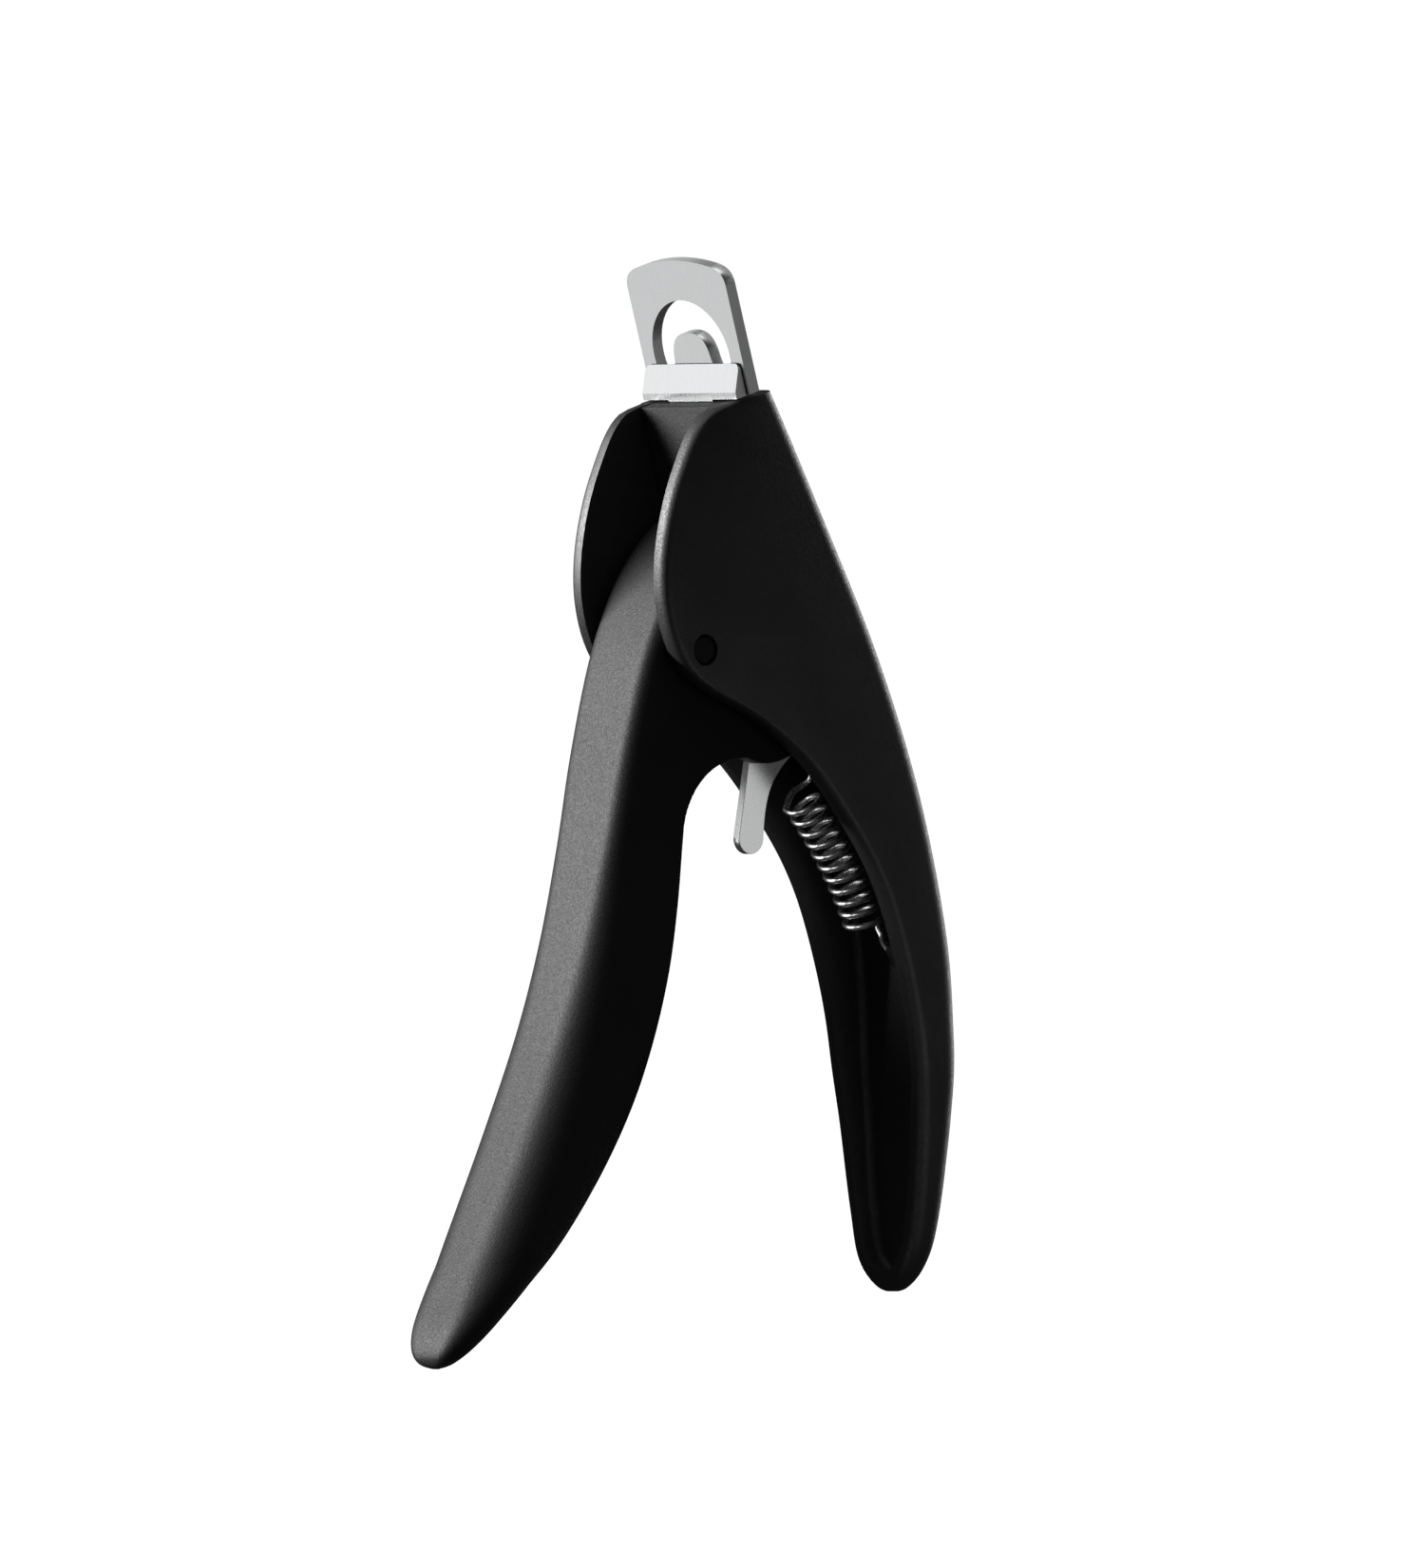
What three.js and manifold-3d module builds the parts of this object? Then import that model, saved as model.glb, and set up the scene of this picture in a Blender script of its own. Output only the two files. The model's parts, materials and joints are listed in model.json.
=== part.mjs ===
// A pet nail trimmer: squeezing the lever towards the body slides a straight blade up a fixed,
// arched plate. All sizes are in millimetres and all angles in degrees.
//
// The pieces are drawn in the body's frame: the pivot's axis is the Y axis, the cheeks face +Y and -Y,
// the lever lies towards -X and the body's spine towards +X. Everything that slides or fastens in the
// head is drawn in the head's own frame, whose Z axis runs up along the blade.

import * as THREE from "three";
import { mergeVertices } from "three/addons/utils/BufferGeometryUtils.js";
import Module from "manifold-3d";

const wasm = await Module();
wasm.setup();

// ---------- driving dimensions ----------

const STAND_TURN = 6.8; // turn about Y that stands both handle tips on the ground
const HEAD_TURN = 16.7; // lean of the blade from the body frame's Z axis

const BODY_HALF = 9.6; // half the thickness over the cheeks
const WALL = 2.3;
const SLOT_HALF = BODY_HALF - WALL;
const HEAD_TOP = 30.6; // height of the head's top, whose own lean is HEAD_TOP_TURN
const HEAD_TOP_TURN = 12.7;
const SPINE_ROUND = 3;

const LEVER_HALF = 6.6; // half the lever's thickness between the cheeks
const FORK_HALF = 3.4; // half the slot between the two arms of the lever's fork
const FORK_ROOT = 12.2; // radius of the slot's end about the pivot

const PIVOT = { headRadius: 1.95, headEnd: 9.35, headBase: 8.1, barrelRadius: 1.8, screwRadius: 1 };
const PIVOT_SEAT_RADIUS = 2.07;
const BUSH = { bore: 1.95, radius: 3, half: 6.75 };

const PLATE = { front: 16.86, back: 18.6, half: 9.8, top: 48.4, cornerHeight: 46 };
const OPENING = { radius: 7.5, centre: 35.45, tongueTop: 38.5, tongueHalf: 3.3 };
const BLADE = { front: 14.9, back: 16.7, half: 9.3, foot: 29.9, bevelFoot: 30.8, edge: 34.3 };
const BLADE_SHANK_HALF = 4.4;
const BLADE_END = -7.2;
const PLATE_SHANK = { half: 6.7, step: 18.6, narrowHalf: 4.4, end: 10 };

const BOSS = { front: 18.85, back: 34, end: 9.6, top: 36 }; // the front face is behind the fixed plate
const PAD_FRONT = 16.95; // faces under the guide cover's legs
const COVER = { front: 12.4, wall: 14.6, back: 16.65, half: 7.15, legInside: 4.7, end: 9, top: 29.6 };
const COVER_SCREW = { y: 5.75, z: 14, radius: 0.8, head: 1.35, seat: 1.25, tip: 21.5 };
const PLATE_SCREW = { lower: 13, upper: 24.5, radius: 1.1, head: 2.3, tip: 21 };

const CARRIER = { front: 17, back: 21.2, half: 3.1, top: -0.9, bottom: -8.6, lipTop: -7.4 };
const DRIVE_PIN = { x: 19.2, z: -5.2, radius: 1.25, half: 6.4 };
const RIVET = { y: 1.7, z: -2.3, radius: 0.7, head: 1.15, headFront: 14.25 };

const LATCH_PIN = { x: 17, z: -9.5, radius: 1.1, half: 6.3 };
const LATCH = { near: -3.1, far: -1.9, eye: 2.6 };
const CATCH = { x: 26.9, z: -17.4, radius: 0.9, end: -2.3 };

const SPRING_PIN = { x: 23.4, z: -12.2, radius: 0.85, head: 1.25, near: -0.9, far: 6.3, boss: 1.75 };
const SPRING = {
  wire: 0.42,
  coil: 2.3,
  turns: 10.57,
  firstAngle: 135, // round the coil from the side next to the spine, towards +Y
  top: [25.94, 1, -19.71],
  bend: [33.05, 0.85, -27.6], // where the lines along the coil's two ends meet
  bottom: [36.78, 0.7, -36.3],
  eye: 1.55,
  hook: 1.9,
  hookCentre: [40, -1.3, -38.4],
};
const HOOK_DOWN = [0.484, -0.875]; // in X and Z, along the spring's lower loop
const HOOK_OUT = [0.875, 0.484]; // from the lower loop towards the spine
const PEG = { near: 0.9, far: 0.3 }; // how far it reaches to each side of the lower loop's middle

const PIN_PLAY = 0.06; // round a pin or rivet in its hole
const SCREW_PLAY = 0.1;
const SEAT_PLAY = 0.05; // under a head
const BEYOND = 1; // how far a cutting shape reaches past what it cuts

// ---------- materials ----------

function material(color, roughness, metalness) {
  return new THREE.MeshStandardMaterial({ color, roughness, metalness });
}

const blackPlastic = () => material(0x17181a, 0.55, 0);
const brushedSteel = () => material(0xb9bbbd, 0.32, 1);
const springSteel = () => material(0xa9abad, 0.25, 1);
const blackenedSteel = () => material(0x1d1e20, 0.4, 0.8);
const turnedSteel = () => material(0xc2c3c4, 0.3, 1);
const bronze = () => material(0xa07a45, 0.4, 1);

// ---------- solids ----------

// A three.js geometry as a manifold solid, with its faces turned outwards.
function solid(geometry) {
  const bare = geometry.clone();
  bare.deleteAttribute("normal");
  bare.deleteAttribute("uv");
  const merged = mergeVertices(bare, 1e-4);
  const corners = [];
  const index = merged.index.array;
  for (let i = 0; i < index.length; i += 3) {
    const [a, b, c] = [index[i], index[i + 1], index[i + 2]];
    if (a !== b && b !== c && c !== a) corners.push(a, b, c);
  }
  const build = (triVerts) =>
    new wasm.Manifold(
      new wasm.Mesh({ numProp: 3, vertProperties: merged.attributes.position.array, triVerts }),
    );
  const made = build(Uint32Array.from(corners));
  return made.volume() > 0 ? made : build(Uint32Array.from(corners.reverse()));
}

// A manifold solid as a named mesh.
function piece(name, made, look) {
  const mesh = made.getMesh();
  const geometry = new THREE.BufferGeometry();
  geometry.setAttribute("position", new THREE.BufferAttribute(mesh.vertProperties, 3));
  geometry.setIndex(new THREE.BufferAttribute(mesh.triVerts, 1));
  geometry.computeVertexNormals();
  const shown = new THREE.Mesh(geometry, look);
  shown.name = name;
  return shown;
}

// An outline in the X-Z plane, thick from y = low to y = high, with its edges rounded by round.
function slab(outline, low, high, round = 0, curveSegments = 4) {
  const geometry = new THREE.ExtrudeGeometry(outline, {
    depth: high - low - 2 * round,
    curveSegments,
    bevelEnabled: round > 0,
    bevelSize: round,
    bevelThickness: round,
    bevelOffset: -round,
    bevelSegments: 2,
  });
  return geometry.rotateX(Math.PI / 2).translate(0, high - round, 0);
}

// An outline in the Y-Z plane, thick from x = low to x = high.
function sheet(outline, low, high, curveSegments = 6) {
  const geometry = new THREE.ExtrudeGeometry(outline, {
    depth: high - low,
    curveSegments,
    bevelEnabled: false,
  });
  const turn = new THREE.Matrix4().makeBasis(
    new THREE.Vector3(0, 1, 0),
    new THREE.Vector3(0, 0, 1),
    new THREE.Vector3(1, 0, 0),
  );
  return geometry.applyMatrix4(turn).translate(low, 0, 0);
}

// A turned piece about the Y axis, from [radius, y] corners that start and end on the axis.
function turned(corners, x = 0, z = 0, sides = 24) {
  const profile = corners.map(([radius, y]) => new THREE.Vector2(radius, y));
  return new THREE.LatheGeometry(profile, sides).translate(x, 0, z);
}

// A turned piece about the X axis, from [radius, x] corners.
function turnedAlongX(corners, y, z, sides = 20) {
  return turned(corners, 0, 0, sides).rotateZ(-Math.PI / 2).translate(0, y, z);
}

function rod(radius, low, high, x, z, sides = 24) {
  return turned([[0, low], [radius, low], [radius, high], [0, high]], x, z, sides);
}

function rodAlongX(radius, low, high, y, z) {
  return turnedAlongX([[0, low], [radius, low], [radius, high], [0, high]], y, z);
}

function block(x0, x1, y0, y1, z0, z1) {
  const geometry = new THREE.BoxGeometry(x1 - x0, y1 - y0, z1 - z0);
  return geometry.translate((x0 + x1) / 2, (y0 + y1) / 2, (z0 + z1) / 2);
}

// A geometry drawn in the head's frame, turned into the body's frame.
function fromHead(geometry, turn = HEAD_TURN) {
  return geometry.rotateY(-THREE.MathUtils.degToRad(turn));
}

function headPoint(x, z) {
  const turn = THREE.MathUtils.degToRad(HEAD_TURN);
  return [x * Math.cos(turn) - z * Math.sin(turn), x * Math.sin(turn) + z * Math.cos(turn)];
}

function polygon(corners) {
  return new THREE.Shape(corners.map(([a, b]) => new THREE.Vector2(a, b)));
}

// ---------- lofts through level sections ----------

// A smooth function of height through [height, value] points, listed from the top down.
function along(points) {
  const curve = new THREE.SplineCurve(points.map(([z, v]) => new THREE.Vector2(z, v)));
  const samples = curve.getPoints(10 * points.length);
  return (z) => {
    if (z >= samples[0].x) return samples[0].y;
    const next = samples.findIndex((s) => s.x <= z);
    if (next < 0) return samples[samples.length - 1].y;
    const [above, below] = [samples[next - 1], samples[next]];
    return above.y + ((below.y - above.y) * (above.x - z)) / (above.x - below.x);
  };
}

// One level ring: a rectangle from left to right and -half to half, with rounded corners.
function ring({ z, left, right, half, leftRound, rightRound, steps }) {
  const most = 0.49 * Math.min(right - left, 2 * half);
  const corners = [
    [right, -half, Math.min(rightRound, most), -90],
    [right, half, Math.min(rightRound, most), 0],
    [left, half, Math.min(leftRound, most), 90],
    [left, -half, Math.min(leftRound, most), 180],
  ];
  const points = [];
  for (const [x, y, round, start] of corners) {
    const centreX = x - Math.sign(x - (left + right) / 2) * round;
    const centreY = y - Math.sign(y) * round;
    for (let i = 0; i <= steps; i++) {
      const angle = THREE.MathUtils.degToRad(start + (90 * i) / steps);
      points.push([centreX + round * Math.cos(angle), centreY + round * Math.sin(angle), z]);
    }
  }
  return points;
}

function loft(rings) {
  const count = rings[0].length;
  const index = [];
  for (let r = 0; r + 1 < rings.length; r++) {
    for (let i = 0; i < count; i++) {
      const next = (i + 1) % count;
      const [a, b, c, d] = [r * count + i, r * count + next, (r + 1) * count + next, (r + 1) * count + i];
      index.push(a, b, c, a, c, d);
    }
  }
  const last = (rings.length - 1) * count;
  for (let i = 1; i + 1 < count; i++) {
    index.push(0, i + 1, i);
    index.push(last, last + i, last + i + 1);
  }
  const geometry = new THREE.BufferGeometry();
  geometry.setAttribute("position", new THREE.Float32BufferAttribute(rings.flat(2), 3));
  geometry.setIndex(index);
  return geometry;
}

// Heights from low to high, no further apart than step.
function levels(low, high, step) {
  const count = Math.ceil((high - low) / step);
  return Array.from({ length: count }, (_, i) => low + ((high - low) * i) / count);
}

// ---------- body ----------

const spineEdge = along([
  [40, 8.6], [34.6, 12.5], [17.3, 22.2], [-0.7, 31.7], [-18.7, 39], [-36.7, 43.7],
  [-50, 45.1], [-62, 45.3], [-75, 44.5], [-81.5, 43.4], [-84.6, 41.9],
]);
const cheekEdge = along([
  [40, 12], [33, 5.4], [31.8, 2.6], [30.9, 0.7], [29, -1.1], [26, -2.8], [20.3, -5.2], [14.3, -6.7],
  [9, -7.1], [4.5, -6.5], [0.5, -5], [-2.8, -2.6], [-5.2, 1], [-7.4, 6.2], [-9.9, 11.2], [-15, 18.5],
  [-22.3, 25.2], [-29.4, 30.3], [-37.5, 33.9], [-48.8, 37], [-61.3, 38.6], [-73.8, 39.2],
  [-81.5, 39.3], [-84.6, 40.6],
]);
const bodyHalf = along([
  [40, BODY_HALF], [-30, BODY_HALF], [-48, BODY_HALF], [-55, 9.5], [-61, 8.9], [-68, 8.1], [-74, 7.2],
  [-79, 6.1], [-82.3, 4.4], [-84.1, 2.4], [-84.6, 0.8],
]);
const rimRound = along([[40, 0.6], [10, 0.6], [-10, 1], [-35, 1.2], [-50, 1.5], [-84.6, 1.7]]);
const hollowHalf = along([
  [44, SLOT_HALF], [-48, SLOT_HALF], [-55, 7.2], [-61, 6.6], [-68, 5.8], [-74, 4.9], [-77, 4.35],
  [-79, 3.7], [-80.5, 2.8], [-81.5, 1.6], [-82, 0.6],
]);
const spineRun = along([[44, 2.5], [-60, 2.5], [-75, 2.1], [-82, 1.5]]); // its thickness, measured level

const bodyLevels = [
  -84.6, -84.3, -83.7, -82.7, -81.2, -79,
  ...levels(-76, -8, 4), ...levels(-8, 3, 1.1), ...levels(3, 28, 3.6), ...levels(28, 38, 1.25), 38,
];

function bodyOutside() {
  return loft(
    bodyLevels.map((z) =>
      ring({
        z,
        left: cheekEdge(z),
        right: spineEdge(z),
        half: bodyHalf(z),
        leftRound: rimRound(z),
        rightRound: SPINE_ROUND,
        steps: 3,
      }),
    ),
  );
}

// The hollow between the cheeks and down the handle, open towards the lever.
function bodyHollow() {
  const heights = [-82, -81.8, -81.5, -81, -80.3, -79.3, -77.9, ...levels(-76, 44, 4.5), 44];
  return loft(
    heights.map((z) =>
      ring({
        z,
        left: cheekEdge(z) - 30,
        right: spineEdge(z) - spineRun(z),
        half: hollowHalf(z),
        leftRound: 0.3,
        rightRound: 1.2,
        steps: 2,
      }),
    ),
  );
}

// The solid part of the head behind the fixed plate, with a pad on each side of the blade.
function headBoss() {
  const wide = SLOT_HALF + 0.5;
  const padTop = PLATE_SHANK.step - 0.3;
  const padInside = PLATE_SHANK.narrowHalf + 0.2;
  let boss = solid(fromHead(block(BOSS.front, BOSS.back, -wide, wide, BOSS.end, BOSS.top)));
  for (const [low, high] of [[-wide, -padInside], [padInside, wide]]) {
    boss = boss.add(solid(fromHead(block(PAD_FRONT, BOSS.front + 1, low, high, BOSS.end, padTop))));
  }
  return boss;
}

function headScrewHoles() {
  const hole = (screw, low, y, z) => {
    return solid(fromHead(rodAlongX(screw.radius + SCREW_PLAY, low, screw.tip + 0.3, y, z)));
  };
  return [
    hole(PLATE_SCREW, BOSS.front - BEYOND, 0, PLATE_SCREW.lower),
    hole(PLATE_SCREW, BOSS.front - BEYOND, 0, PLATE_SCREW.upper),
    hole(COVER_SCREW, PAD_FRONT - BEYOND, -COVER_SCREW.y, COVER_SCREW.z),
    hole(COVER_SCREW, PAD_FRONT - BEYOND, COVER_SCREW.y, COVER_SCREW.z),
  ];
}

// The moulded hook in the channel that holds the spring's lower loop. Its corners are
// [down the spring, out of the channel] from the middle of the loop.
function springPeg() {
  const [x, y, z] = SPRING.hookCentre;
  const corners = [
    [-0.3, -3.5], [-0.3, 1], [0.8, 1.4], [3.2, 1.2], [3.2, 0.8], [1.25, 0.75], [1.25, -3.5],
  ];
  const outline = corners.map(([down, out]) => [
    x + down * HOOK_DOWN[0] - out * HOOK_OUT[0],
    z + down * HOOK_DOWN[1] - out * HOOK_OUT[1],
  ]);
  return solid(slab(polygon(outline), y - PEG.near, y + PEG.far));
}

function pivotBores() {
  const seat = PIVOT.headBase - 2 * PIN_PLAY;
  const outside = BODY_HALF + BEYOND;
  const bore = solid(rod(PIVOT.barrelRadius + PIN_PLAY, -outside, outside, 0, 0, 32));
  const near = solid(rod(PIVOT_SEAT_RADIUS, -outside, -seat, 0, 0, 32));
  const far = solid(rod(PIVOT_SEAT_RADIUS, seat, outside, 0, 0, 32));
  return bore.add(near).add(far);
}

function bodyShell() {
  const outside = solid(bodyOutside());
  const aboveHead = solid(fromHead(block(-60, 60, -20, 20, HEAD_TOP, HEAD_TOP + 60), HEAD_TOP_TURN));
  const catchLug = solid(rod(CATCH.radius, -SLOT_HALF - 0.5, CATCH.end, CATCH.x, CATCH.z, 20));
  const moulded = outside
    .subtract(solid(bodyHollow()))
    .add(headBoss().intersect(outside))
    .add(springPeg().intersect(outside))
    .add(catchLug)
    .subtract(aboveHead)
    .subtract(pivotBores());
  return headScrewHoles().reduce((body, hole) => body.subtract(hole), moulded);
}

// ---------- lever ----------

const leverFront = along([
  [17.3, 6.1], [16.9, 4.6], [14.3, 1.6], [10.5, -1.6], [5.7, -4.4], [-2.2, -7.65], [-14.2, -10.9],
  [-26.2, -13.5], [-38.2, -16.6], [-50.2, -20.8], [-62.2, -26], [-74.2, -31.8], [-84, -36.7],
  [-89, -39.2], [-92, -40.1], [-93.6, -39.7], [-94.1, -38.8],
]);
const leverBack = along([
  [17.3, 7], [16.2, 7.3], [8.2, 9.6], [2, 8], [-8, 6.4], [-14.5, 5.4], [-17.2, 2.6], [-19.8, 0.6],
  [-24.7, 0], [-33.7, -0.9], [-42.7, -2.45], [-51.7, -5.2], [-60.7, -9.2], [-69.7, -14.65],
  [-78.7, -21.7], [-87.7, -31], [-91.5, -35], [-93.6, -37.5], [-94.1, -38.3],
]);
const leverHalf = along([
  [17.3, LEVER_HALF], [-10, LEVER_HALF], [-26, LEVER_HALF], [-44, 7.1], [-60, 7.7], [-74, 7.8],
  [-82, 7.5], [-88, 6.4], [-91.5, 4.8], [-93.4, 2.8], [-94.1, 0.6],
]);
const leverFrontRound = along([
  [17.3, 1.6], [0, 2], [-26, 2.8], [-50, 4.7], [-62, 5.3], [-75, 5.6], [-94.1, 5.6],
]);
const leverBackRound = along([[17.3, 1.6], [0, 2], [-26, 2.4], [-55, 4], [-75, 5], [-94.1, 5]]);

const leverLevels = [
  -94.1, -93.8, -93.2, -92.2, -90.6, -88.4,
  ...levels(-86, -26, 4), ...levels(-26, -12, 1.6), ...levels(-12, 12, 3), ...levels(12, 17.3, 0.9), 17.3,
];

function leverStem() {
  return loft(
    leverLevels.map((z) =>
      ring({
        z,
        left: leverFront(z),
        right: Math.max(leverBack(z), leverFront(z) + 0.4),
        half: leverHalf(z),
        leftRound: leverFrontRound(z),
        rightRound: leverBackRound(z),
        steps: 4,
      }),
    ),
  );
}

// The arm that reaches from the pivot towards the spine, before it is forked.
function leverArm() {
  const outline = new THREE.Shape();
  outline.moveTo(0, 12);
  outline.lineTo(8.4, 11.4);
  outline.lineTo(9.8, 8.2);
  outline.quadraticCurveTo(10.6, 5.5, 13, 4.5);
  outline.lineTo(21.6, 3.6);
  outline.quadraticCurveTo(23.9, 3.2, 24.1, 0.5);
  outline.lineTo(SPRING_PIN.x + SPRING_PIN.boss, SPRING_PIN.z);
  outline.absarc(SPRING_PIN.x, SPRING_PIN.z, SPRING_PIN.boss, 0, -Math.PI / 2, true);
  outline.lineTo(17.6, -13.9);
  outline.quadraticCurveTo(14, -15.7, 10.4, -14.2);
  outline.quadraticCurveTo(6.6, -14.2, 4.15, -15.7);
  outline.quadraticCurveTo(0.2, -18, -1, -23.2);
  outline.lineTo(-3, -22);
  return solid(slab(outline, -LEVER_HALF, LEVER_HALF, 0.7));
}

// The slot between the fork's arms, which keeps clear of the carrier at every angle.
function forkSlot() {
  const outline = new THREE.Shape();
  const start = THREE.MathUtils.degToRad(33);
  const end = THREE.MathUtils.degToRad(-27.5);
  outline.moveTo(30, 12);
  outline.lineTo(FORK_ROOT * Math.cos(start), FORK_ROOT * Math.sin(start));
  outline.absarc(0, 0, FORK_ROOT, start, end, true);
  outline.lineTo(FORK_ROOT * Math.cos(end), -22);
  outline.lineTo(30, -22);
  return solid(slab(outline, -FORK_HALF, FORK_HALF));
}

// The drive pin rises in a straight line while the fork swings, so it shifts along this slot.
function driveSlot() {
  const [x, z] = headPoint(DRIVE_PIN.x, DRIVE_PIN.z);
  const reach = Math.hypot(x, z);
  const width = DRIVE_PIN.radius + 0.22;
  const outline = new THREE.Shape();
  outline.absarc(0.25, 0, width, -Math.PI / 2, Math.PI / 2, false);
  outline.absarc(-0.95, 0, width, Math.PI / 2, (3 * Math.PI) / 2, false);
  const slot = slab(outline, -LEVER_HALF - 1, LEVER_HALF + 1, 0, 10);
  return solid(slot.translate(reach, 0, 0).rotateY(-Math.atan2(z, x)));
}

function leverHandle() {
  const outside = LEVER_HALF + BEYOND;
  return solid(leverStem())
    .add(leverArm())
    .subtract(forkSlot())
    .subtract(driveSlot())
    .subtract(solid(rod(BUSH.radius + 0.08, -outside, outside, 0, 0, 32)))
    .subtract(solid(rod(LATCH_PIN.radius + PIN_PLAY, -outside, outside, LATCH_PIN.x, LATCH_PIN.z)))
    .subtract(solid(rod(SPRING_PIN.radius + PIN_PLAY, 0, outside, SPRING_PIN.x, SPRING_PIN.z)));
}

// ---------- pivot ----------

function pivotBarrel() {
  const { headRadius, headEnd, headBase, barrelRadius, screwRadius } = PIVOT;
  const corners = [
    [0, -headEnd], [headRadius - 0.25, -headEnd], [headRadius, -headEnd + 0.25], [headRadius, -headBase],
    [barrelRadius, -headBase], [barrelRadius, 7.4], [screwRadius + 0.1, 7.4], [screwRadius + 0.1, 1], [0, 1],
  ];
  return solid(turned(corners, 0, 0, 32));
}

function pivotScrew() {
  const { headRadius, headEnd, headBase, screwRadius } = PIVOT;
  const corners = [
    [0, 1.4], [screwRadius, 1.4], [screwRadius, headBase], [headRadius, headBase],
    [headRadius, headEnd - 0.25], [headRadius - 0.25, headEnd], [0, headEnd],
  ];
  const slot = solid(block(-3, 3, headEnd - 0.5, headEnd + 1, -0.3, 0.3));
  return solid(turned(corners, 0, 0, 32)).subtract(slot);
}

function pivotBush() {
  const { bore, radius, half } = BUSH;
  const corners = [[bore, -half], [radius, -half], [radius, half], [bore, half], [bore, -half]];
  return solid(turned(corners, 0, 0, 32));
}

// ---------- fixed plate and its screws, in the head's frame ----------

function plateOutline() {
  const { half, top, cornerHeight } = PLATE;
  const shank = PLATE_SHANK;
  const shoulder = BLADE.foot + 0.1;
  const outline = new THREE.Shape();
  outline.moveTo(-shank.narrowHalf, shank.end);
  outline.lineTo(shank.narrowHalf, shank.end);
  outline.lineTo(shank.narrowHalf, shank.step);
  outline.lineTo(shank.half, shank.step);
  outline.lineTo(shank.half, shoulder);
  outline.lineTo(half, shoulder);
  outline.lineTo(half, cornerHeight - 1.2);
  outline.quadraticCurveTo(half, cornerHeight + 0.9, half - 2.6, cornerHeight + 1.5);
  outline.quadraticCurveTo(0, top + (top - cornerHeight - 1.5), -half + 2.6, cornerHeight + 1.5);
  outline.quadraticCurveTo(-half, cornerHeight + 0.9, -half, cornerHeight - 1.2);
  outline.lineTo(-half, shoulder);
  outline.lineTo(-shank.half, shoulder);
  outline.lineTo(-shank.half, shank.step);
  outline.lineTo(-shank.narrowHalf, shank.step);
  return outline;
}

// The opening that the claw goes through: an arch with a round-topped tongue standing in it.
function archOpening() {
  const { radius, centre, tongueTop, tongueHalf } = OPENING;
  const foot = centre - 3.6;
  const hole = new THREE.Path();
  const footX = Math.sqrt(radius ** 2 - (centre - foot) ** 2);
  const start = Math.atan2(foot - centre, footX);
  hole.moveTo(footX, foot);
  hole.absarc(0, centre, radius, start, Math.PI - start, false);
  hole.quadraticCurveTo(-footX + 0.2, foot - 0.9, -footX + 1.1, foot - 0.1);
  hole.quadraticCurveTo(-tongueHalf - 0.5, foot + 1, -tongueHalf - 0.25, centre);
  hole.bezierCurveTo(-tongueHalf, centre + 1.6, -tongueHalf + 0.7, tongueTop, 0, tongueTop);
  hole.bezierCurveTo(tongueHalf - 0.7, tongueTop, tongueHalf, centre + 1.6, tongueHalf + 0.25, centre);
  hole.quadraticCurveTo(tongueHalf + 0.5, foot + 1, footX - 1.1, foot - 0.1);
  hole.quadraticCurveTo(footX - 0.2, foot - 0.9, footX, foot);
  return hole;
}

function fixedPlate() {
  const outline = plateOutline();
  outline.holes.push(archOpening());
  let plate = solid(sheet(outline, PLATE.front, PLATE.back, 18));
  for (const z of [PLATE_SCREW.lower, PLATE_SCREW.upper]) {
    plate = plate.subtract(solid(plateScrewShape(z, 0.08)));
  }
  return plate;
}

// A countersunk screw that lies flush in the plate, with play added all round.
function plateScrewShape(z, play) {
  const { radius, head, tip } = PLATE_SCREW;
  const front = PLATE.front + 0.05 - (play > 0 ? 1 : 0);
  const corners = [
    [0, front], [head + play, front], [head + play, PLATE.front + 0.35], [radius + play, PLATE.back - 0.3],
    [radius + play, tip], [0, tip],
  ];
  return turnedAlongX(corners, 0, z);
}

function plateScrew(z) {
  const across = solid(block(PLATE.front - 1, PLATE.front + 0.45, -1.5, 1.5, z - 0.25, z + 0.25));
  const upright = solid(block(PLATE.front - 1, PLATE.front + 0.45, -0.25, 0.25, z - 1.5, z + 1.5));
  return solid(plateScrewShape(z, 0)).subtract(across).subtract(upright);
}

// ---------- moving blade and its carrier, in the head's frame ----------

function movingBlade() {
  const { front, back, half, foot, bevelFoot, edge } = BLADE;
  const shank = BLADE_SHANK_HALF;
  const outline = new THREE.Shape();
  outline.moveTo(-CARRIER.half, BLADE_END);
  outline.lineTo(CARRIER.half, BLADE_END);
  outline.lineTo(CARRIER.half, 0);
  outline.lineTo(shank, 2);
  outline.lineTo(shank, foot);
  outline.lineTo(half, foot);
  outline.lineTo(half, edge - 0.9);
  outline.absarc(half - 0.9, edge - 0.9, 0.9, 0, Math.PI / 2, false);
  outline.absarc(-half + 0.9, edge - 0.9, 0.9, Math.PI / 2, Math.PI, false);
  outline.lineTo(-half, foot);
  outline.lineTo(-shank, foot);
  outline.lineTo(-shank, 2);
  outline.lineTo(-CARRIER.half, 0);
  const section = polygon([
    [front, BLADE_END - 1], [front, bevelFoot], [back - 0.12, edge + 0.01], [back, edge + 0.01],
    [back, BLADE_END - 1],
  ]);
  let blade = solid(sheet(outline, front, back)).intersect(solid(slab(section, -half - 1, half + 1)));
  for (const y of [-RIVET.y, RIVET.y]) {
    const hole = rodAlongX(RIVET.radius + PIN_PLAY, front - BEYOND, back + BEYOND, y, RIVET.z);
    blade = blade.subtract(solid(hole));
  }
  return blade;
}

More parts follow.
